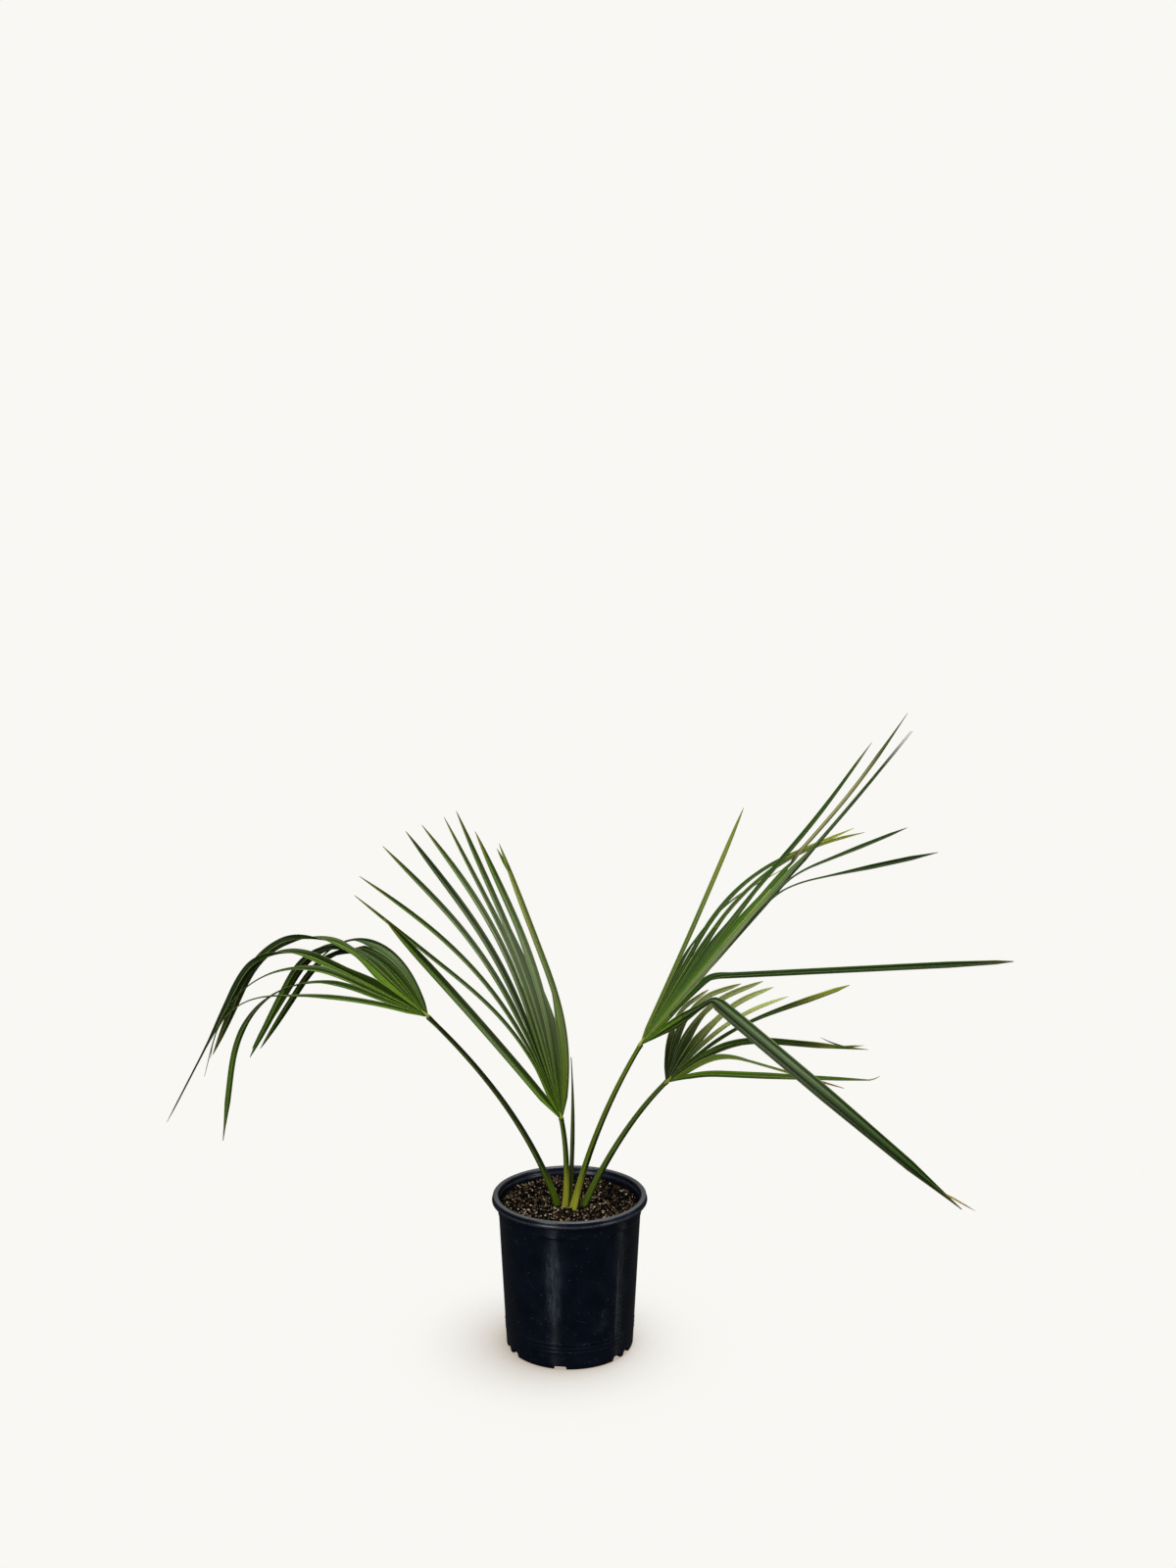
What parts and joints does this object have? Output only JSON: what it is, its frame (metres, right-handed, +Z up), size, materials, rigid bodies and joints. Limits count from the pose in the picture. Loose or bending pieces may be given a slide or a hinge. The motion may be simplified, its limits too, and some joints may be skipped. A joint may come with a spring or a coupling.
{
  "type": "potted cabbage palmetto",
  "caption": "Young fan palm in a round nursery pot, with long petioles that each carry a fan blade of narrow pleated segments.",
  "frame": {"origin": "centre of the pot's flat underside, on the surface it stands on", "axes": "+Z up the pot; +X towards the two right fronds, along the widest spread; +Y away from the front of the pictured view"},
  "size_m": [1.0271, 0.3974, 0.8103],
  "materials": {
    "pot": "semi-gloss moulded, lightly scuffed",
    "potting_mix": "damp loose bark mix with pale specks",
    "petiole": "smooth, satin",
    "leaf_blade": "pleated, waxy sheen above and duller below",
    "spear_leaf": "folded, satin"
  },
  "bodies": {
    "root": {"pot": "pot", "soil": "potting_mix", "spear": "spear_leaf", "petiole_left": "petiole", "blade_left": "leaf_blade", "petiole_upright": "petiole", "blade_upright": "leaf_blade", "petiole_high": "petiole", "blade_high": "leaf_blade", "petiole_low": "petiole", "blade_low": "leaf_blade", "strap_left_1": "leaf_blade", "strap_left_2": "leaf_blade", "strap_left_3": "leaf_blade", "strap_left_4": "leaf_blade", "strap_left_5": "leaf_blade", "strap_left_6": "leaf_blade", "strap_left_7": "leaf_blade", "strap_left_8": "leaf_blade", "strap_left_9": "leaf_blade", "strap_high_12": "leaf_blade"}
  },
  "joints": []
}
